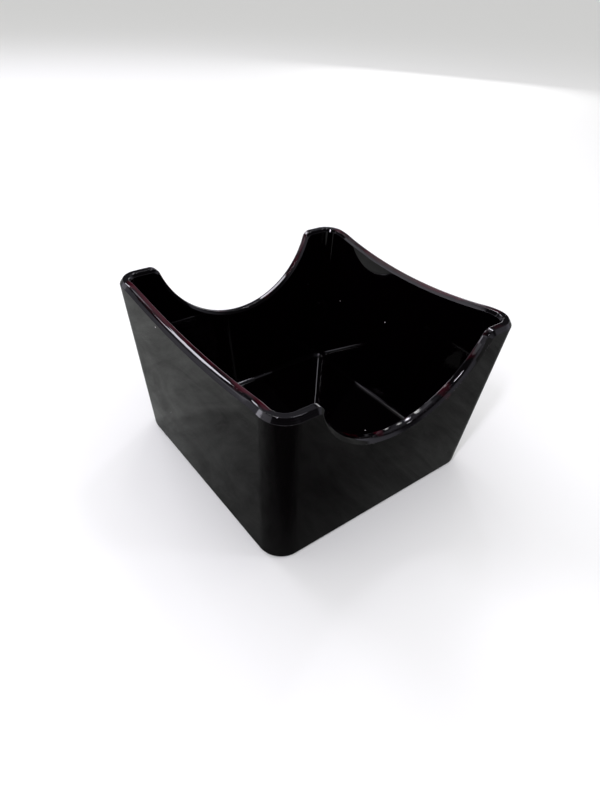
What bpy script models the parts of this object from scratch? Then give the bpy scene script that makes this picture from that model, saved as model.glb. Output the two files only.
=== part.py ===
"""Napkin caddy: a square, open-topped, tapered moulding on four non-slip pads.

Two opposite walls have a deep round scoop, so that fingers can pinch the stack of napkins.
The two side walls only sag a little between their corners. +Z is up, the scooped walls face
-Y (front) and +Y (back), and the origin is on the table under the middle of the caddy.
"""
import math
from collections import namedtuple

import bmesh
import bpy
from mathutils import Vector

MM = 0.001

# Overall size of the moulding, at its outer skin
BODY_HEIGHT = 88.0 * MM
BASE_WIDTH = 127.5 * MM
RIM_WIDTH = 140.8 * MM
CORNER_RADIUS = 11.6 * MM

# Wall, floor and underside
WALL = 5.6 * MM
FLOOR = 3.2 * MM
FLOOR_FILLET = 3.0 * MM
BASE_EDGE_RADIUS = 1.0 * MM
LAND_WIDTH = 8.0 * MM
RECESS_DEPTH = 0.8 * MM
RECESS_DRAFT = 0.4 * MM

# Rim: a chamfer outside and a smaller one inside
RIM_OUTER_INSET = 1.8 * MM
RIM_OUTER_DROP = 2.3 * MM
RIM_INNER_INSET = 0.9 * MM
RIM_INNER_DROP = 1.6 * MM

# Scoops in the front and back walls
SCOOP_RADIUS = 50.0 * MM
SCOOP_DEPTH = 35.75 * MM
SHOULDER_RADIUS = 5.0 * MM

# Side walls: the rim sags, and the wall bows inward towards the middle of the rim
SIDE_SAG = 5.0 * MM
SAG_REACH = 53.8 * MM
SAG_BLEND_START = 49.5 * MM
SIDE_BOW = 0.8 * MM

# Non-slip pads in the recess under the base
PAD_RADIUS = 6.0 * MM
PAD_PROUD = 0.5 * MM
PAD_GAP = 0.3 * MM
PAD_EDGE = 0.25 * MM
PAD_PLACE = 45.0 * MM
PAD_SIDES = 32

# How finely the curved stretches are divided
SCOOP_STEPS = 12
SHOULDER_STEPS = 4
CORNER_STEPS = 6
SIDE_STEPS = 9
FILLET_STEPS = 4
WALL_STEPS = 3

MERGE = 0.05 * MM

# One place along the rim: which wall it is on, how far along that wall (or the angle round the
# corner), how high the rim is above the moulding's base there, and how steeply it climbs.
Station = namedtuple("Station", "wall place rim_height climb")


def half_width(height):
    """Half of the outer width at a height above the moulding's base."""
    return (BASE_WIDTH + (RIM_WIDTH - BASE_WIDTH) * height / BODY_HEIGHT) / 2


def half_flat(height):
    """Half of the straight stretch between two rounded corners."""
    return half_width(height) - CORNER_RADIUS


def side_rim(along):
    """Height and climb of a side wall's rim at a distance from the wall's middle."""
    sag = SIDE_SAG * (1 - (along / SAG_REACH) ** 2)
    slope = 2 * SIDE_SAG * along / SAG_REACH ** 2
    if along <= SAG_BLEND_START:
        return BODY_HEIGHT - sag, math.atan(slope)
    start_sag = SIDE_SAG * (1 - (SAG_BLEND_START / SAG_REACH) ** 2)
    start_slope = 2 * SIDE_SAG * SAG_BLEND_START / SAG_REACH ** 2
    length = 2 * start_sag / start_slope
    left = max(0.0, 1 - (along - SAG_BLEND_START) / length)
    return BODY_HEIGHT - start_sag * left ** 2, math.atan(start_slope * left)


def scooped_wall_stations():
    """From the middle of the scoop up its arc, over the shoulder, to the start of the corner."""
    arc_centre = BODY_HEIGHT - SCOOP_DEPTH + SCOOP_RADIUS
    shoulder_centre = BODY_HEIGHT - SHOULDER_RADIUS
    reach = SCOOP_RADIUS + SHOULDER_RADIUS
    shoulder_place = math.sqrt(reach ** 2 - (arc_centre - shoulder_centre) ** 2)
    steepest = math.asin(shoulder_place / reach)
    stations = []
    for step in range(SCOOP_STEPS + 1):
        climb = steepest * step / SCOOP_STEPS
        place = SCOOP_RADIUS * math.sin(climb)
        stations.append(Station("scooped", place, arc_centre - SCOOP_RADIUS * math.cos(climb), climb))
    for step in range(1, SHOULDER_STEPS + 1):
        climb = steepest * (1 - step / SHOULDER_STEPS)
        place = shoulder_place - SHOULDER_RADIUS * math.sin(climb)
        height = shoulder_centre + SHOULDER_RADIUS * math.cos(climb)
        stations.append(Station("scooped", place, height, climb))
    return stations


def corner_stations():
    """Round the corner, from the scooped wall's end to the side wall's end."""
    quarter = math.pi / 2
    angles = [quarter * (1 - step / CORNER_STEPS) for step in range(CORNER_STEPS + 1)]
    return [Station("corner", angle, BODY_HEIGHT, 0.0) for angle in angles]


def side_wall_stations():
    """From beside the corner to the middle of the side wall."""
    stations = []
    for step in range(1, SIDE_STEPS + 1):
        along = half_flat(BODY_HEIGHT) * (1 - step / SIDE_STEPS)
        height, climb = side_rim(along)
        stations.append(Station("side", along, height, climb))
    return stations


def skin_point(wall, place, inset, height):
    """A point inset from the outer skin, at a height above the moulding's base."""
    if wall == "corner":
        centre = half_flat(height)
        radius = CORNER_RADIUS - inset
        x = centre + radius * math.cos(place)
        y = centre + radius * math.sin(place)
    elif wall == "scooped":
        x = place
        y = half_width(height) - inset
    else:
        bow = SIDE_BOW * (1 - (place / half_flat(height)) ** 2) * height / BODY_HEIGHT
        x = half_width(height) - inset - bow
        y = place
    return Vector((x, y, height + PAD_PROUD))


def section(station):
    """The moulding's section at a station: up the outer skin, over the rim, down to the floor."""

    def rim_point(inset, drop):
        """Dropped square to the rim's own line, so that the chamfers keep their width."""
        if station.wall == "corner":
            return station.place, inset, station.rim_height - drop
        place = station.place + drop * math.sin(station.climb)
        return place, inset, station.rim_height - drop * math.cos(station.climb)

    def below(rim, inset, height):
        """Under a rim point, kept in proportion along the narrowing wall."""
        place = rim[0]
        if station.wall != "corner":
            place *= half_flat(height) / half_flat(rim[2])
        return place, inset, height

    outer = rim_point(0.0, RIM_OUTER_DROP)
    inner = rim_point(WALL, RIM_INNER_DROP)
    edge_corner = BASE_EDGE_RADIUS * (1 - math.sqrt(0.5))
    recess_inset = BASE_EDGE_RADIUS + LAND_WIDTH
    fillet_top = FLOOR + FLOOR_FILLET

    points = [
        below(outer, recess_inset + RECESS_DRAFT, RECESS_DEPTH),
        below(outer, recess_inset, 0.0),
        below(outer, BASE_EDGE_RADIUS, 0.0),
        below(outer, edge_corner, edge_corner),
    ]
    for step in range(WALL_STEPS):
        climb = step / WALL_STEPS
        height = BASE_EDGE_RADIUS + (outer[2] - BASE_EDGE_RADIUS) * climb
        points.append(below(outer, 0.0, height))
    points += [
        outer,
        rim_point(RIM_OUTER_INSET, 0.0),
        rim_point(WALL - RIM_INNER_INSET, 0.0),
        inner,
    ]
    for step in range(1, WALL_STEPS):
        height = inner[2] + (fillet_top - inner[2]) * step / WALL_STEPS
        points.append(below(inner, WALL, height))
    for step in range(FILLET_STEPS + 1):
        turn = math.pi / 2 * step / FILLET_STEPS
        inset = WALL + FLOOR_FILLET * (1 - math.cos(turn))
        points.append(below(inner, inset, fillet_top - FLOOR_FILLET * math.sin(turn)))
    return [skin_point(station.wall, *point) for point in points]


def quarter_mesh():
    """A quarter of the moulding, open at the planes x = 0 and y = 0."""
    stations = scooped_wall_stations() + corner_stations() + side_wall_stations()
    bm = bmesh.new()
    columns = [[bm.verts.new(point) for point in section(station)] for station in stations]
    for column, following in zip(columns, columns[1:]):
        for row in range(len(column) - 1):
            bm.faces.new((column[row], column[row + 1], following[row + 1], following[row]))
    recess_middle = bm.verts.new((0, 0, PAD_PROUD + RECESS_DEPTH))
    floor_middle = bm.verts.new((0, 0, PAD_PROUD + FLOOR))
    bm.faces.new([recess_middle] + [column[0] for column in columns])
    bm.faces.new([floor_middle] + [column[-1] for column in reversed(columns)])
    mesh = bpy.data.meshes.new("caddy_body")
    bm.to_mesh(mesh)
    bm.free()
    return mesh


def plastic(name, colour, roughness):
    material = bpy.data.materials.new(name)
    material.use_nodes = True
    shader = material.node_tree.nodes["Principled BSDF"]
    shader.inputs["Base Color"].default_value = (*colour, 1.0)
    shader.inputs["Roughness"].default_value = roughness
    shader.inputs["Metallic"].default_value = 0.0
    return material


def add_body(collection, frame):
    """The moulding, mirrored from its quarter."""
    body = bpy.data.objects.new("caddy_body", quarter_mesh())
    collection.objects.link(body)
    body.parent = frame
    body.data.materials.append(plastic("black_gloss_plastic", (0.010, 0.004, 0.007), 0.06))
    mirror = body.modifiers.new("both_halves", "MIRROR")
    mirror.use_axis = (True, True, False)
    mirror.merge_threshold = MERGE
    body.data.shade_smooth()
    body.data.set_sharp_from_angle(angle=math.radians(30))


def pad_mesh():
    """One round pad, standing on its own origin."""
    thickness = PAD_PROUD + RECESS_DEPTH - PAD_GAP
    bpy.ops.mesh.primitive_cylinder_add(vertices=PAD_SIDES, radius=PAD_RADIUS, depth=thickness)
    pad = bpy.context.object
    mesh = pad.data
    mesh.name = "foot_pad"
    bpy.data.objects.remove(pad)
    for vertex in mesh.vertices:
        vertex.co.z += thickness / 2
    mesh.shade_smooth()
    mesh.set_sharp_from_angle(angle=math.radians(30))
    mesh.materials.append(plastic("dark_rubber", (0.035, 0.034, 0.036), 0.75))
    return mesh


def add_pads(collection, frame):
    """Four pads that share one mesh, one near each corner of the underside."""
    mesh = pad_mesh()
    for end, y in (("front", -PAD_PLACE), ("back", PAD_PLACE)):
        for side, x in (("left", -PAD_PLACE), ("right", PAD_PLACE)):
            pad = bpy.data.objects.new(f"foot_pad_{end}_{side}", mesh)
            collection.objects.link(pad)
            pad.parent = frame
            pad.location = (x, y, 0)
            edge = pad.modifiers.new("eased_edge", "BEVEL")
            edge.width = PAD_EDGE
            edge.segments = 2
            edge.limit_method = "ANGLE"


def main():
    for old in list(bpy.data.objects):
        bpy.data.objects.remove(old)
    collection = bpy.data.collections.new("napkin_caddy")
    bpy.context.scene.collection.children.link(collection)
    frame = bpy.data.objects.new("table_point", None)
    collection.objects.link(frame)
    add_body(collection, frame)
    add_pads(collection, frame)


main()
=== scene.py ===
"""Looks for the napkin caddy: a glossy, almost black moulding on four rubber pads.

The real plastic is a clear resin with a very dark crimson dye, which shows where light comes through
its thin edges. Here it is opaque and almost black, and that light is painted on as a crimson glow
along the thin edges of the rim. All lengths are in metres, in the CAD frame: +Z is up, the scooped
walls face -Y (front) and +Y (back), and the origin is on the table.

Nearly all that is seen of such a plastic is a reflection. The lights, and a floor and a room that
only reflections see, are tuned for the main camera.
"""
import math
from collections import namedtuple

import bmesh
import bpy
from mathutils import Matrix, Vector


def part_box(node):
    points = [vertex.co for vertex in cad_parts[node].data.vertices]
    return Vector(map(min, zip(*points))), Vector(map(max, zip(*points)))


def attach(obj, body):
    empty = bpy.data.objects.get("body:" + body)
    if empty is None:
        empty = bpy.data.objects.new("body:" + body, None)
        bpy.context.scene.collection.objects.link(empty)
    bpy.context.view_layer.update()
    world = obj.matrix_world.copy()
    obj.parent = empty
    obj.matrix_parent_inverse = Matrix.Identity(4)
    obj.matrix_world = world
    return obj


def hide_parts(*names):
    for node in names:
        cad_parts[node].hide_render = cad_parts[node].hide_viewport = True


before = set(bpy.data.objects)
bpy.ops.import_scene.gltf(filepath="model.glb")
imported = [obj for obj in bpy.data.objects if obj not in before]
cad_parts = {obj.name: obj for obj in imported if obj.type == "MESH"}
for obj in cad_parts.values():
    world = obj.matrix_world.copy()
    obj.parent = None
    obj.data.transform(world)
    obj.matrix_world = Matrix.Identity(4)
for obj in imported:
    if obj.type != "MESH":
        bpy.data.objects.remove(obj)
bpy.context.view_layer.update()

MM = 0.001

# The moulding, with the same driving sizes as the CAD
PAD_PROUD = 0.5 * MM
BODY_HEIGHT = 88.0 * MM
BASE_WIDTH = 127.5 * MM
RIM_WIDTH = 140.8 * MM
CORNER_RADIUS = 11.6 * MM
WALL = 5.6 * MM
FLOOR = 3.2 * MM
FLOOR_FILLET = 3.0 * MM
BASE_EDGE_RADIUS = 1.0 * MM
LAND_WIDTH = 8.0 * MM
RECESS_DEPTH = 0.8 * MM
RECESS_DRAFT = 0.4 * MM
RIM_OUTER_INSET = 1.8 * MM
RIM_OUTER_DROP = 2.3 * MM
RIM_INNER_INSET = 0.9 * MM
RIM_INNER_DROP = 1.6 * MM
SCOOP_RADIUS = 50.0 * MM
SCOOP_DEPTH = 35.75 * MM
SHOULDER_RADIUS = 5.0 * MM
SIDE_SAG = 5.0 * MM
SAG_REACH = 53.8 * MM
SAG_BLEND_START = 49.5 * MM
SIDE_BOW = 0.8 * MM

# Edge roundings that the CAD leaves sharp
CHAMFER_EASE = 0.5 * MM
RIM_OUTER_EASE = 2.4 * MM
RIM_CORNER_EASE = 0.4 * MM
RIM_INNER_EASE = 0.8 * MM
RECESS_EASE = 0.3 * MM

# How far from a corner, or below a shoulder, the rim takes to reach its full rounding
SIDE_SOFTENING = 14.0 * MM
SCOOP_SOFTENING = 6.0 * MM

# The mark left by the injection gate: where the middle recess is this near a point below it
GATE_MIDDLE = (0.0, 0.0, -2.0 * MM)
GATE_REACH = 4.4 * MM

# How finely the curved stretches are divided
SCOOP_STEPS = 48
SHOULDER_STEPS = 14
CORNER_STEPS = 20
SIDE_STEPS = 30
WALL_STEPS = 10
CREASE_STEPS = 4
ROUND_STEPS = 8
MERGE = 0.02 * MM
FLAT_FACE_WEIGHT = 80

# The rubber pads: an eased edge, a shallow dish with a ring round it, and a narrower glued top
PAD_SIDES = 72
PAD_EASE = 0.22 * MM
PAD_EASE_STEPS = 4
PAD_DISH_DEPTH = 0.12 * MM
PAD_DISH_SHARE = 0.62
PAD_RING_SHARE = 0.68
PAD_SIDE_DRAFT = 0.04 * MM
PAD_SHOULDER_INSET = 0.25 * MM
PAD_SHOULDER_DROP = 0.24 * MM
PAD_TOP_INSET = 0.3 * MM
PAD_CREASE_ANGLE = math.radians(35)

# The camera: where it stands round the caddy, and what it looks at
CAMERA_AZIMUTH = math.radians(-39.51)
CAMERA_ELEVATION = math.radians(37.56)
CAMERA_ROLL = math.radians(3.81)
CAMERA_DISTANCE = 297.1 * MM
CAMERA_TARGET = Vector((0.0, 0.0, 45.64 * MM))
CAMERA_SLIDE = (-3.3 * MM, -15.6 * MM)
CAMERA_LENS = 25.5
SENSOR_WIDTH = 36.0

# The lights stand round this point, this far away
LIGHT_AIM = Vector((0.0, 0.0, 50.0 * MM))
LIGHT_DISTANCE = 1.5
PALE_VIOLET = (0.92, 0.90, 1.0)

# The floor, and half the width of the clear square in it, which the base hides
FLOOR_REACH = 12.0
FLOOR_SIDES = 96
UNDER_BASE = 58.0 * MM

# How much painted glow of light through the dye the rim gets at least and on a scoop, and how far round a
# corner it fades
LEAST_PAINTED_GLOW = 0.15
SCOOP_PAINTED_GLOW = 0.5
PAINTED_GLOW_FADE_TURN = math.pi / 6

# Where the painted glow of light through the dye is strongest on the front scoop's rim, and how far that
# spreads
PAINTED_GLOW_PATCHES = (
    ((29.4 * MM, -66.0 * MM, 61.5 * MM), 6.5 * MM),
    ((-10.3 * MM, -65.0 * MM, 53.8 * MM), 4.5 * MM),
)

# Colours, and how the plastic shines
NEAR_BLACK = (0.0004, 0.0001, 0.0003, 1.0)
# Painted glow: the dye's crimson as light coming through a thin edge would show it
CRIMSON_PAINTED_GLOW = (0.030, 0.0005, 0.004, 1.0)
SCUFF = (0.30, 0.28, 0.31, 1.0)
DUST = (0.75, 0.72, 0.74, 1.0)
RUBBER_DARK = (0.030, 0.029, 0.031, 1.0)
RUBBER_WORN = (0.060, 0.058, 0.058, 1.0)
LINT = (0.16, 0.15, 0.14, 1.0)
FLOOR_PALE = (0.78, 0.78, 0.78, 1.0)
ROOM_TINT = (0.88, 0.86, 1.0, 1.0)
STUDIO_WHITE = (1.0, 1.0, 0.98, 1.0)
STUDIO_STRENGTH = 0.85
PLASTIC_IOR = 1.49
POLISH = 0.018

Station = namedtuple("Station", "wall place rim_height climb")


# ---------------------------------------------------------------- shape of the moulding

def half_width(height):
    """Half of the outer width at a height above the moulding's base."""
    return (BASE_WIDTH + (RIM_WIDTH - BASE_WIDTH) * height / BODY_HEIGHT) / 2


def half_flat(height):
    """Half of the straight stretch between two rounded corners."""
    return half_width(height) - CORNER_RADIUS


def side_rim(along):
    """Height and climb of a side wall's rim at a distance from the wall's middle."""
    sag = SIDE_SAG * (1 - (along / SAG_REACH) ** 2)
    slope = 2 * SIDE_SAG * along / SAG_REACH ** 2
    if along <= SAG_BLEND_START:
        return BODY_HEIGHT - sag, math.atan(slope)
    start_sag = SIDE_SAG * (1 - (SAG_BLEND_START / SAG_REACH) ** 2)
    start_slope = 2 * SIDE_SAG * SAG_BLEND_START / SAG_REACH ** 2
    length = 2 * start_sag / start_slope
    left = max(0.0, 1 - (along - SAG_BLEND_START) / length)
    return BODY_HEIGHT - start_sag * left ** 2, math.atan(start_slope * left)


def scooped_wall_stations():
    """From the middle of the scoop up its arc, over the shoulder, to the start of the corner."""
    arc_centre = BODY_HEIGHT - SCOOP_DEPTH + SCOOP_RADIUS
    shoulder_centre = BODY_HEIGHT - SHOULDER_RADIUS
    reach = SCOOP_RADIUS + SHOULDER_RADIUS
    shoulder_place = math.sqrt(reach ** 2 - (arc_centre - shoulder_centre) ** 2)
    steepest = math.asin(shoulder_place / reach)
    stations = []
    for step in range(SCOOP_STEPS + 1):
        climb = steepest * step / SCOOP_STEPS
        place = SCOOP_RADIUS * math.sin(climb)
        stations.append(Station("scooped", place, arc_centre - SCOOP_RADIUS * math.cos(climb), climb))
    for step in range(1, SHOULDER_STEPS + 1):
        climb = steepest * (1 - step / SHOULDER_STEPS)
        place = shoulder_place - SHOULDER_RADIUS * math.sin(climb)
        height = shoulder_centre + SHOULDER_RADIUS * math.cos(climb)
        stations.append(Station("scooped", place, height, climb))
    return stations


def corner_stations():
    """Round the corner, from the scooped wall's end to the side wall's end."""
    quarter = math.pi / 2
    angles = [quarter * (1 - step / CORNER_STEPS) for step in range(CORNER_STEPS + 1)]
    return [Station("corner", angle, BODY_HEIGHT, 0.0) for angle in angles]


def side_wall_stations():
    """From beside the corner to the middle of the side wall."""
    stations = []
    for step in range(1, SIDE_STEPS + 1):
        along = half_flat(BODY_HEIGHT) * (1 - step / SIDE_STEPS)
        height, climb = side_rim(along)
        stations.append(Station("side", along, height, climb))
    return stations


def skin_point(wall, place, inset, height):
    """A point inset from the outer skin, at a height above the moulding's base."""
    if wall == "corner":
        centre = half_flat(height)
        radius = CORNER_RADIUS - inset
        x = centre + radius * math.cos(place)
        y = centre + radius * math.sin(place)
    elif wall == "scooped":
        x = place
        y = half_width(height) - inset
    else:
        bow = SIDE_BOW * (1 - (place / half_flat(height)) ** 2) * height / BODY_HEIGHT
        x = half_width(height) - inset - bow
        y = place
    return Vector((x, y, height + PAD_PROUD))


def rounded(points, rim):
    """A line through (point, radius, steps, wear, glow) with its corners turned into arcs.

    Gives (point, wear, glow, across) for each vertex: how exposed to rubbing it is, how much painted
    glow of light through the dye goes there, and how far over the rim it lies, from 0 outside to 1 inside.
    rim says which of the line's corners belong to the rim.
    """
    line = []
    for index, (corner, radius, steps, wear, glow) in enumerate(points):
        if not radius:
            line.append((corner, 0.0, glow[0], index))
            continue
        back = (points[index - 1][0] - corner).normalized()
        ahead = (points[index + 1][0] - corner).normalized()
        half_opening = back.angle(ahead) / 2
        cut = radius / math.tan(half_opening)
        centre = corner + (back + ahead).normalized() * (radius / math.sin(half_opening))
        start = corner + back * cut - centre
        end = corner + ahead * cut - centre
        for step in range(steps + 1):
            share = step / steps
            arc = start.normalized().slerp(end.normalized(), share) * radius
            rubbed = wear * math.sin(math.pi * share)
            line.append((centre + arc, rubbed, glow[0] + (glow[1] - glow[0]) * share, index))
    across = 0.0
    vertices = []
    for (before, _, _, index_before), (point, wear, glow, index) in zip(line[:1] + line, line):
        if index in rim and index_before in rim:
            across += (point - before).length
        vertices.append((point, wear, glow, across))
    return [(point, wear, glow, so_far / across) for point, wear, glow, so_far in vertices]


def softness(station):
    """How well rounded the rim is: 1 along the side walls and scoops, 0 at corners and shoulders."""
    if station.wall == "corner":
        return 0.0
    if station.wall == "side":
        return min(1.0, (half_flat(BODY_HEIGHT) - station.place) / SIDE_SOFTENING)
    return min(1.0, (BODY_HEIGHT - station.rim_height) / SCOOP_SOFTENING)


def painted_glow_share(station):
    """How much painted glow of light through the dye goes along the rim: most on the side walls, little at
    the corners.
    """
    if station.wall == "scooped":
        return LEAST_PAINTED_GLOW + (SCOOP_PAINTED_GLOW - LEAST_PAINTED_GLOW) * softness(station)
    if station.wall == "corner":
        return max(LEAST_PAINTED_GLOW, 1 - station.place / PAINTED_GLOW_FADE_TURN)
    return 1.0


def section(station):
    """The moulding's section at a station: up the outer skin, over the rim, down to the floor."""

    def rim_point(inset, drop):
        """Dropped square to the rim's own line, so that the chamfers keep their width."""
        if station.wall == "corner":
            return station.place, inset, station.rim_height - drop
        place = station.place + drop * math.sin(station.climb)
        return place, inset, station.rim_height - drop * math.cos(station.climb)

    def below(rim, inset, height):
        """Under a rim point, kept in proportion along the narrowing wall."""
        place = rim[0]
        if station.wall != "corner":
            place *= half_flat(height) / half_flat(rim[2])
        return place, inset, height

    def at(where, radius=0.0, steps=0, wear=0.0, glow=(0.0, 0.0)):
        return skin_point(station.wall, *where), radius, steps, wear, glow

    outer = rim_point(0.0, RIM_OUTER_DROP)
    inner = rim_point(WALL, RIM_INNER_DROP)
    soft = softness(station)
    # How much painted crimson glow, standing for light through the dye, the rim points below get
    dye = painted_glow_share(station)
    outer_ease = RIM_CORNER_EASE + (RIM_OUTER_EASE - RIM_CORNER_EASE) * soft
    recess_inset = BASE_EDGE_RADIUS + LAND_WIDTH
    floor_inset = WALL + 2 * FLOOR_FILLET
    fillet_top = FLOOR + FLOOR_FILLET

    points = [
        at(below(outer, recess_inset + 2 * RECESS_DRAFT, RECESS_DEPTH)),
        at(below(outer, recess_inset + RECESS_DRAFT, RECESS_DEPTH), RECESS_EASE, CREASE_STEPS),
        at(below(outer, recess_inset, 0.0), RECESS_EASE, CREASE_STEPS, 0.5),
        at(below(outer, 0.0, 0.0), BASE_EDGE_RADIUS, ROUND_STEPS, 1.0),
    ]
    for step in range(1, WALL_STEPS):
        climb = step / WALL_STEPS
        points.append(at(below(outer, 0.0, outer[2] * climb)))
    rim = range(len(points), len(points) + 4)
    points += [
        at(outer, CHAMFER_EASE, CREASE_STEPS, 1.0),
        at(rim_point(RIM_OUTER_INSET, 0.0), outer_ease, ROUND_STEPS, 0.3, (0.0, 0.5 * dye)),
        at(rim_point(WALL - RIM_INNER_INSET, 0.0), RIM_INNER_EASE, CREASE_STEPS, 0.3,
           (dye, 0.2 * dye)),
        at(inner, CHAMFER_EASE, CREASE_STEPS, 0.5),
    ]
    for step in range(1, WALL_STEPS):
        height = inner[2] + (fillet_top - inner[2]) * step / WALL_STEPS
        points.append(at(below(inner, WALL, height)))
    points.append(at(below(inner, WALL, FLOOR), FLOOR_FILLET, ROUND_STEPS))
    points.append(at(below(inner, min(floor_inset, CORNER_RADIUS - MERGE), FLOOR)))
    return rounded(points, rim)


def quarter_mesh():
    """A quarter of the moulding, open at the planes x = 0 and y = 0."""
    stations = scooped_wall_stations() + corner_stations() + side_wall_stations()
    bm = bmesh.new()
    wear_layer = bm.verts.layers.float.new("edge_wear")
    # Painted glow of light through the dye at the rim, kept on each vertex
    painted_glow_layer = bm.verts.layers.float.new("painted_dye_glow")
    across_layer = bm.verts.layers.float.new("across_rim")
    columns = []
    for station in stations:
        column = []
        for point, wear, glow, across in section(station):
            vertex = bm.verts.new(point)
            vertex[wear_layer] = wear
            vertex[painted_glow_layer] = glow
            vertex[across_layer] = across
            column.append(vertex)
        columns.append(column)
    for column, following in zip(columns, columns[1:]):
        for row in range(len(column) - 1):
            bm.faces.new((column[row], column[row + 1], following[row + 1], following[row]))
    recess_middle = bm.verts.new((0, 0, PAD_PROUD + RECESS_DEPTH))
    floor_middle = bm.verts.new((0, 0, PAD_PROUD + FLOOR))
    floor_middle[across_layer] = 1.0
    bm.faces.new([recess_middle] + [column[0] for column in columns])
    bm.faces.new([floor_middle] + [column[-1] for column in reversed(columns)])
    mesh = bpy.data.meshes.new("caddy_shell")
    bm.to_mesh(mesh)
    bm.free()
    return mesh


def add_shell(material):
    """The whole moulding, which stands for the CAD body."""
    shell = bpy.data.objects.new("caddy_shell", quarter_mesh())
    bpy.context.scene.collection.objects.link(shell)
    mirror = shell.modifiers.new("both_halves", "MIRROR")
    mirror.use_axis = (True, True, False)
    mirror.merge_threshold = MERGE
    shell.data.shade_smooth()
    flat_first = shell.modifiers.new("flat_faces_first", "WEIGHTED_NORMAL")
    flat_first.weight = FLAT_FACE_WEIGHT
    shell.data.materials.append(material)
    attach(shell, "root")
    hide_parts("caddy_body")


# ---------------------------------------------------------------- pads

def pad_mesh(radius, height):
    """A moulded rubber disc: eased edges and a shallow dish with a raised ring underneath."""
    profile = [
        (0.0, PAD_DISH_DEPTH),
        (radius * PAD_DISH_SHARE, PAD_DISH_DEPTH),
        (radius * PAD_RING_SHARE, 0.0),
    ]
    for step in range(PAD_EASE_STEPS + 1):
        turn = math.pi / 2 * step / PAD_EASE_STEPS
        across = radius - PAD_EASE + PAD_EASE * math.sin(turn)
        profile.append((across, PAD_EASE - PAD_EASE * math.cos(turn)))
    profile += [
        (radius - PAD_SIDE_DRAFT, height - PAD_TOP_INSET),
        (radius - PAD_SHOULDER_INSET, height - PAD_SHOULDER_DROP),
        (radius - PAD_TOP_INSET, height),
        (0.0, height),
    ]
    bm = bmesh.new()
    rings = []
    for ring_radius, ring_height in profile:
        if ring_radius == 0.0:
            rings.append([bm.verts.new((0.0, 0.0, ring_height))])
            continue
        turns = [2 * math.pi * side / PAD_SIDES for side in range(PAD_SIDES)]
        rings.append([
            bm.verts.new((ring_radius * math.cos(turn), ring_radius * math.sin(turn), ring_height))
            for turn in turns
        ])
    for ring, following in zip(rings, rings[1:]):
        for side in range(PAD_SIDES):
            after = (side + 1) % PAD_SIDES
            if len(ring) == 1:
                bm.faces.new((ring[0], following[after], following[side]))
            elif len(following) == 1:
                bm.faces.new((ring[side], ring[after], following[0]))
            else:
                bm.faces.new((ring[side], ring[after], following[after], following[side]))
    mesh = bpy.data.meshes.new("rubber_pad")
    bm.to_mesh(mesh)
    bm.free()
    mesh.shade_smooth()
    mesh.set_sharp_from_angle(angle=PAD_CREASE_ANGLE)
    return mesh


def add_pads(material):
    """One detailed pad in the place of each CAD pad, up against the recess under the base."""
    ceiling = PAD_PROUD + RECESS_DEPTH
    for name in sorted(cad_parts):
        if not name.startswith("foot_pad"):
            continue
        low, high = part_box(name)
        mesh = pad_mesh((high.x - low.x) / 2, ceiling)
        pad = bpy.data.objects.new(name.replace("foot_pad", "rubber_pad"), mesh)
        bpy.context.scene.collection.objects.link(pad)
        pad.location = ((low.x + high.x) / 2, (low.y + high.y) / 2, 0.0)
        pad.data.materials.append(material)
        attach(pad, "root")
        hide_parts(name)


# ---------------------------------------------------------------- materials

class Tree:
    """A short way to build a node tree."""

    def __init__(self, tree):
        self.tree = tree
        tree.nodes.clear()

    def add(self, kind, settings=None, **inputs):
        """A node with its settings, and each input given as a value or as another node's output."""
        node = self.tree.nodes.new(kind)
        for name, value in (settings or {}).items():
            setattr(node, name, value)
        for name, value in inputs.items():
            socket = self.socket(node, name)
            if isinstance(value, bpy.types.NodeSocket):
                self.tree.links.new(value, socket)
            else:
                socket.default_value = value
        return node

    @staticmethod
    def socket(node, name):
        """An input by its name with _ for spaces, or by its number as in at0."""
        if name.startswith("at") and name[2:].isdigit():
            return node.inputs[int(name[2:])]
        return node.inputs[name.replace("_", " ")]

    def math(self, operation, first, second=0.0):
        return self.add("ShaderNodeMath", {"operation": operation}, at0=first, at1=second).outputs[0]

    def noise(self, where, scale, detail=2.0, roughness=0.5, distortion=0.0):
        inputs = {"Vector": where, "Scale": scale, "Detail": detail}
        inputs.update({"Roughness": roughness, "Distortion": distortion})
        return self.add("ShaderNodeTexNoise", **inputs).outputs["Fac"]

    def band(self, value, low, high):
        """0 where the value is at low, 1 where it is at high, and never outside 0 to 1."""
        inputs = {"Value": value, "From_Min": low, "From_Max": high}
        return self.add("ShaderNodeMapRange", {"clamp": True}, **inputs).outputs[0]

    def blend(self, share, first, second):
        """A mix of two colours."""
        node = self.tree.nodes.new("ShaderNodeMix")
        node.data_type = "RGBA"
        for socket, value in zip((node.inputs[0], node.inputs[6], node.inputs[7]), (share, first, second)):
            if isinstance(value, bpy.types.NodeSocket):
                self.tree.links.new(value, socket)
            else:
                socket.default_value = value
        return node.outputs[2]


def new_material(name):
    material = bpy.data.materials.new(name)
    material.use_nodes = True
    return material, Tree(material.node_tree)


def stretched(tree, where, stretch):
    """Coordinates pulled out along an axis, for streaks."""
    return tree.add("ShaderNodeMapping", Vector=where, Scale=stretch).outputs[0]


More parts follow.
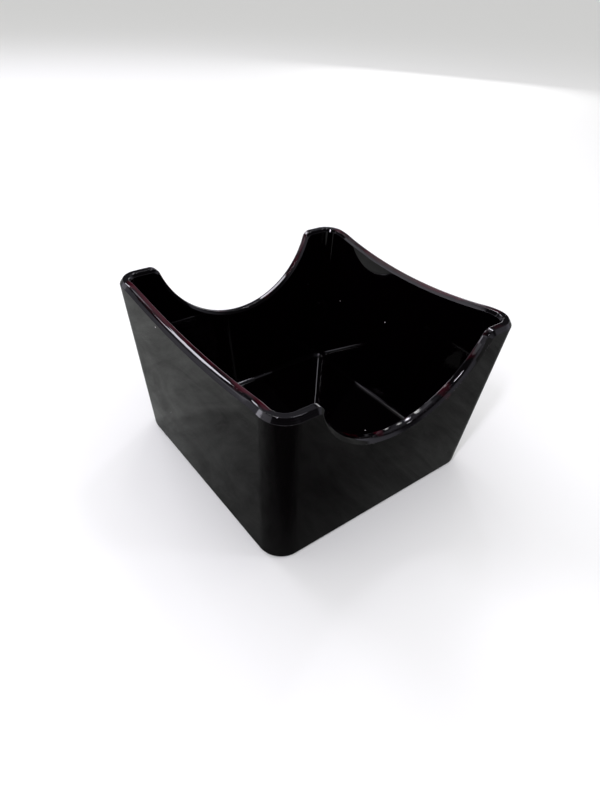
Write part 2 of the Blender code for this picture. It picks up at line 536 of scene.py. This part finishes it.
def gloss_plastic():
    """Polished, almost black plastic. A crimson glow of light through its dye is painted at thin edges;
    edges are rubbed.
    """
    material, tree = new_material("dyed_gloss_plastic_painted_glow")
    where = tree.add("ShaderNodeTexCoord").outputs["Object"]
    wear = tree.add("ShaderNodeAttribute", {"attribute_name": "edge_wear"}).outputs["Fac"]
    glow = tree.add("ShaderNodeAttribute", {"attribute_name": "painted_dye_glow"}).outputs["Fac"]

    # Colour: black with a painted crimson glow of light through the dye in patches along the rim, pale
    # scuffs, a few dust specks
    patches = tree.band(tree.noise(where, 42.0, 3.0, 0.6, 0.5), 0.44, 0.60)
    for middle, spread in PAINTED_GLOW_PATCHES:
        away = tree.add("ShaderNodeVectorMath", {"operation": "DISTANCE"}, at0=where, at1=middle)
        patches = tree.math("ADD", patches, tree.band(away.outputs["Value"], spread, 0.4 * spread))
    reach = tree.math("SUBTRACT", tree.math("ADD", tree.math("MULTIPLY", glow, 1.6), patches), 1.0)
    thin = tree.math("MINIMUM", tree.math("MAXIMUM", reach, 0.0), 1.0)
    # Painted glow: crimson put where light would come through the dyed rim
    colour = tree.blend(thin, NEAR_BLACK, CRIMSON_PAINTED_GLOW)
    grit = tree.noise(where, 1500.0, 3.0, 0.75)
    long_grit = tree.noise(where, 60.0, 2.0, 0.5)
    rubbed = tree.math("MULTIPLY", wear, tree.band(grit, 0.50, 0.70))
    rubbed = tree.math("MULTIPLY", rubbed, tree.band(long_grit, 0.42, 0.62))
    colour = tree.blend(tree.math("MULTIPLY", rubbed, 0.22), colour, SCUFF)
    cells = tree.add("ShaderNodeTexVoronoi", Vector=where, Scale=260.0)
    pick = tree.add("ShaderNodeSeparateColor", Color=cells.outputs["Color"]).outputs[0]
    specks = tree.math("MULTIPLY", tree.math("LESS_THAN", cells.outputs["Distance"], 0.075),
                       tree.math("GREATER_THAN", pick, 0.990))
    colour = tree.blend(specks, colour, DUST)

    # Gloss: polished, with faint smears and duller rubbed edges
    smears = tree.noise(stretched(tree, where, (30.0, 30.0, 12.0)), 1.0, 4.0, 0.6, 0.6)
    haze = tree.band(smears, 0.50, 0.80)
    rough = tree.math("ADD", POLISH, tree.math("MULTIPLY", haze, 0.04))
    rough = tree.math("ADD", rough, tree.math("MULTIPLY", rubbed, 0.25))
    rough = tree.math("MAXIMUM", rough, tree.math("MULTIPLY", specks, 0.8))

    # Surface: slow waves from the moulding, a gate mark underneath, and fine lines along the rim
    waves = tree.noise(where, 34.0, 2.0, 0.45, 0.4)
    bump = tree.add("ShaderNodeBump", Height=waves, Distance=0.00022, Strength=0.18)
    gate = tree.add("ShaderNodeVectorMath", {"operation": "DISTANCE"}, at0=where, at1=GATE_MIDDLE)
    gate = tree.band(gate.outputs["Value"], GATE_REACH + 0.2 * MM, GATE_REACH)
    bump = tree.add("ShaderNodeBump", Height=gate, Distance=0.0003, Strength=0.5, Normal=bump.outputs[0])
    across = tree.add("ShaderNodeAttribute", {"attribute_name": "across_rim"}).outputs["Fac"]
    place = tree.add("ShaderNodeSeparateXYZ", Vector=stretched(tree, where, (26.0, 26.0, 26.0)))
    along = tree.add("ShaderNodeCombineXYZ", X=tree.math("MULTIPLY", across, 11.0), Y=place.outputs["Y"],
                     Z=place.outputs["X"]).outputs[0]
    lines = tree.noise(along, 1.0, 3.0, 0.6)
    bump = tree.add("ShaderNodeBump", Height=lines, Distance=0.0001, Strength=0.22,
                    Normal=bump.outputs[0])

    shader = tree.add("ShaderNodeBsdfPrincipled", Base_Color=colour, Roughness=rough, IOR=PLASTIC_IOR,
                      Normal=bump.outputs[0])
    tree.add("ShaderNodeOutputMaterial", Surface=shader.outputs[0])
    return material


def pad_rubber():
    """Matt dark rubber with a fine grain and a little lint."""
    material, tree = new_material("pad_rubber")
    where = tree.add("ShaderNodeTexCoord").outputs["Object"]
    grain = tree.noise(where, 2600.0, 4.0, 0.7)
    cloud = tree.noise(where, 260.0, 3.0, 0.6)
    colour = tree.blend(tree.band(cloud, 0.35, 0.7), RUBBER_DARK, RUBBER_WORN)
    lint = tree.band(tree.noise(where, 700.0, 2.0, 0.8), 0.70, 0.76)
    colour = tree.blend(lint, colour, LINT)
    bump = tree.add("ShaderNodeBump", Height=grain, Distance=0.00006, Strength=0.5)
    rough = tree.math("ADD", 0.62, tree.math("MULTIPLY", cloud, 0.25))
    shader = tree.add("ShaderNodeBsdfPrincipled", Base_Color=colour, Roughness=rough, Normal=bump.outputs[0])
    tree.add("ShaderNodeOutputMaterial", Surface=shader.outputs[0])
    return material


def table_top():
    """A plain pale floor. In the caddy's reflections it is a mottled grey stone, darker in front, where a
    shadow is painted on it, with painted light behind and close round the base.

    It is clear from below and under the base, so that the underside can be looked at.
    """
    material, tree = new_material("pale_floor")
    where = tree.add("ShaderNodeTexCoord").outputs["Object"]
    clouds = tree.noise(where, 30.0, 6.0, 0.66, 0.9)
    veins = tree.noise(stretched(tree, where, (55.0, 16.0, 1.0)), 1.0, 6.0, 0.72, 1.6)
    mottled = tree.math("ADD", tree.math("MULTIPLY", clouds, 0.5), tree.math("MULTIPLY", veins, 0.5))
    tone = tree.band(mottled, 0.38, 0.62)
    place = tree.add("ShaderNodeSeparateXYZ", Vector=where)
    # Painted shadow on the reflected stone in front of the caddy, deeper to the left, and painted light
    # behind it
    in_front = tree.band(place.outputs["Y"], 0.06, -0.09)
    to_left = tree.band(place.outputs["X"], 0.03, -0.06)
    shade = tree.math("MULTIPLY", in_front, tree.math("ADD", 0.50, tree.math("MULTIPLY", to_left, 0.43)))
    back_light = tree.math("MULTIPLY", tree.band(place.outputs["Y"], 0.03, 0.12), 0.06)
    stone_light = tree.math("ADD", tree.math("ADD", 0.11, back_light), tree.math("MULTIPLY", tone, 0.13))
    sides = tree.add("ShaderNodeVectorMath", {"operation": "ABSOLUTE"}, at0=where).outputs[0]
    sides = tree.add("ShaderNodeSeparateXYZ", Vector=sides)
    off_middle = tree.math("MAXIMUM", sides.outputs["X"], sides.outputs["Y"])
    # Painted light on the reflected stone close round the base
    painted_light_by_the_wall = tree.math("MULTIPLY", tree.band(off_middle, 0.082, 0.064), 0.5)
    stone_light = tree.math("MULTIPLY", stone_light, tree.math("ADD", 1.0, painted_light_by_the_wall))
    near_light = tree.math("MULTIPLY", stone_light, tree.math("SUBTRACT", 1.0, shade))
    away = tree.add("ShaderNodeVectorMath", {"operation": "LENGTH"}, at0=where).outputs["Value"]
    far = tree.band(away, 0.22, 0.38)
    light = tree.math("ADD", tree.math("MULTIPLY", near_light, tree.math("SUBTRACT", 1.0, far)),
                      tree.math("MULTIPLY", far, 0.20))
    stone = tree.add("ShaderNodeCombineColor", Red=light, Green=tree.math("MULTIPLY", light, 1.03),
                     Blue=tree.math("MULTIPLY", light, 0.98)).outputs[0]
    path = tree.add("ShaderNodeLightPath")
    colour = tree.blend(path.outputs["Is Glossy Ray"], FLOOR_PALE, stone)
    shader = tree.add("ShaderNodeBsdfPrincipled", Base_Color=colour, Roughness=0.6, Specular_IOR_Level=0.1)
    from_below = tree.add("ShaderNodeNewGeometry").outputs["Backfacing"]
    clear = tree.math("MAXIMUM", from_below, tree.math("LESS_THAN", off_middle, UNDER_BASE))
    window = tree.add("ShaderNodeBsdfTransparent")
    surface = tree.add("ShaderNodeMixShader", at0=clear, at1=shader.outputs[0], at2=window.outputs[0])
    tree.add("ShaderNodeOutputMaterial", Surface=surface.outputs[0])
    return material


# ---------------------------------------------------------------- stage

def add_floor():
    mesh = bpy.data.meshes.new("floor")
    bm = bmesh.new()
    bmesh.ops.create_circle(bm, cap_ends=True, segments=FLOOR_SIDES, radius=FLOOR_REACH)
    bm.to_mesh(mesh)
    bm.free()
    floor = bpy.data.objects.new("floor", mesh)
    bpy.context.scene.collection.objects.link(floor)
    mesh.materials.append(table_top())


def towards(azimuth, elevation):
    """A direction: azimuth in degrees from the back (+Y) round to the right (+X), and elevation."""
    az, el = math.radians(azimuth), math.radians(elevation)
    return Vector((math.sin(az) * math.cos(el), math.cos(az) * math.cos(el), math.sin(el)))


def add_softbox(name, azimuth, elevation, wide, tall, brightness, colour=(1.0, 1.0, 1.0)):
    """A soft light seen from the caddy in one direction, as wide and tall as an angle in degrees."""
    light = bpy.data.lights.new(name, "AREA")
    light.shape = "RECTANGLE"
    light.size = 2 * LIGHT_DISTANCE * math.tan(math.radians(wide) / 2)
    light.size_y = 2 * LIGHT_DISTANCE * math.tan(math.radians(tall) / 2)
    light.energy = brightness * math.pi * light.size * light.size_y
    light.color = colour
    softbox = bpy.data.objects.new(name, light)
    out = towards(azimuth, elevation)
    softbox.location = LIGHT_AIM + LIGHT_DISTANCE * out
    softbox.rotation_mode = "QUATERNION"
    softbox.rotation_quaternion = (-out).to_track_quat("-Z", "Y")
    bpy.context.scene.collection.objects.link(softbox)


def add_lights():
    """Windows and lamps for the glossy rim to reflect, each placed by its direction from the caddy."""
    add_softbox("back_window", -6, 39.2, 28, 9.6, 10.0, PALE_VIOLET)
    add_softbox("ceiling_panel", 14, 72, 16, 18, 0.6, PALE_VIOLET)
    add_softbox("ceiling_strip", -15, 51, 20, 5, 2.2, PALE_VIOLET)
    add_softbox("lamp_back_low", 31, 48.5, 7, 4, 7.0)
    add_softbox("lamp_back_high", 27, 58.5, 5, 5, 14.0)
    add_softbox("lamp_back_left", -32, 55, 7, 4, 4.0)
    add_softbox("lamp_right_back", 46.5, 54.5, 4, 6, 30.0, PALE_VIOLET)
    add_softbox("lamp_right_front", 141, 48, 5, 5, 30.0, PALE_VIOLET)
    add_softbox("lamp_right_near", 52, 44.5, 3, 4, 6.0)
    add_softbox("lamp_right_low", 56, 30, 3, 3, 10.0)
    add_softbox("lamp_left_front", -116, 48, 3.5, 14, 70.0, PALE_VIOLET)
    add_softbox("window_left", -49, 28, 9, 9, 1.3, PALE_VIOLET)
    add_softbox("window_left_front", -80, 22, 36, 12, 0.8, PALE_VIOLET)
    add_softbox("window_left_low", -56, 10, 14, 11, 4.0, PALE_VIOLET)
    add_softbox("window_back_low", -33, 9, 10, 18, 0.7, PALE_VIOLET)
    add_softbox("window_right_low", 52, 9, 20, 12, 2.8)


def add_world():
    """White to the eye and to the floor. Reflections see a dim room, paler behind and low down."""
    world = bpy.data.worlds.new("studio")
    bpy.context.scene.world = world
    world.use_nodes = True
    tree = Tree(world.node_tree)
    out = tree.add("ShaderNodeTexCoord").outputs["Generated"]
    place = tree.add("ShaderNodeSeparateXYZ", Vector=out)
    height = place.outputs["Z"]
    behind = tree.math("MULTIPLY", tree.band(place.outputs["Y"], -0.6, 0.0),
                       tree.band(place.outputs["X"], -0.35, 0.0))
    upper = tree.math("MULTIPLY", tree.band(height, 0.52, 0.62), 0.26)
    ceiling = tree.math("MULTIPLY", tree.band(height, 0.80, 0.98), 0.12)
    horizon = tree.math("MULTIPLY", tree.band(height, 0.44, 0.20), 0.54)
    facing = tree.add("ShaderNodeVectorMath", {"operation": "DOT_PRODUCT"}, at0=out,
                      at1=towards(148, 22)).outputs["Value"]
    figure = tree.math("MULTIPLY", tree.band(facing, 0.978, 0.992), 0.85)
    horizon = tree.math("MULTIPLY", horizon, tree.math("SUBTRACT", 1.0, figure))
    room_light = tree.math("MULTIPLY", tree.math("ADD", upper, ceiling), behind)
    room_light = tree.math("ADD", tree.math("ADD", room_light, horizon), 0.055)
    room = tree.add("ShaderNodeBackground", Color=ROOM_TINT, Strength=room_light)
    white = tree.add("ShaderNodeBackground", Color=STUDIO_WHITE, Strength=STUDIO_STRENGTH)
    path = tree.add("ShaderNodeLightPath")
    sky = tree.add("ShaderNodeMixShader", at0=path.outputs["Is Glossy Ray"], at1=white.outputs[0],
                   at2=room.outputs[0])
    tree.add("ShaderNodeOutputWorld", Surface=sky.outputs[0])


def add_camera():
    """The camera, turned about its own axis by the roll and slid sideways off the target."""
    az, el, roll = CAMERA_AZIMUTH, CAMERA_ELEVATION, CAMERA_ROLL
    back = Vector((math.sin(az) * math.cos(el), -math.cos(az) * math.cos(el), math.sin(el)))
    level = Vector((math.cos(az), math.sin(az), 0.0))
    upright = back.cross(level)
    right = math.cos(roll) * level + math.sin(roll) * upright
    up = math.cos(roll) * upright - math.sin(roll) * level
    data = bpy.data.cameras.new("camera")
    data.lens = CAMERA_LENS
    data.sensor_width = SENSOR_WIDTH
    data.clip_start = 0.01
    camera = bpy.data.objects.new("camera", data)
    bpy.context.scene.collection.objects.link(camera)
    slide = CAMERA_SLIDE[0] * right + CAMERA_SLIDE[1] * up
    camera.matrix_world = camera_matrix(right, up, back, CAMERA_TARGET + slide + CAMERA_DISTANCE * back)
    bpy.context.scene.camera = camera


def camera_matrix(right, up, back, place):
    rows = [(right[i], up[i], back[i], place[i]) for i in range(3)]
    return Matrix(rows + [(0.0, 0.0, 0.0, 1.0)])


def set_tone():
    view = bpy.context.scene.view_settings
    view.view_transform = "Standard"
    view.look = "None"


add_shell(gloss_plastic())
add_pads(pad_rubber())
add_floor()
add_lights()
add_world()
add_camera()
set_tone()
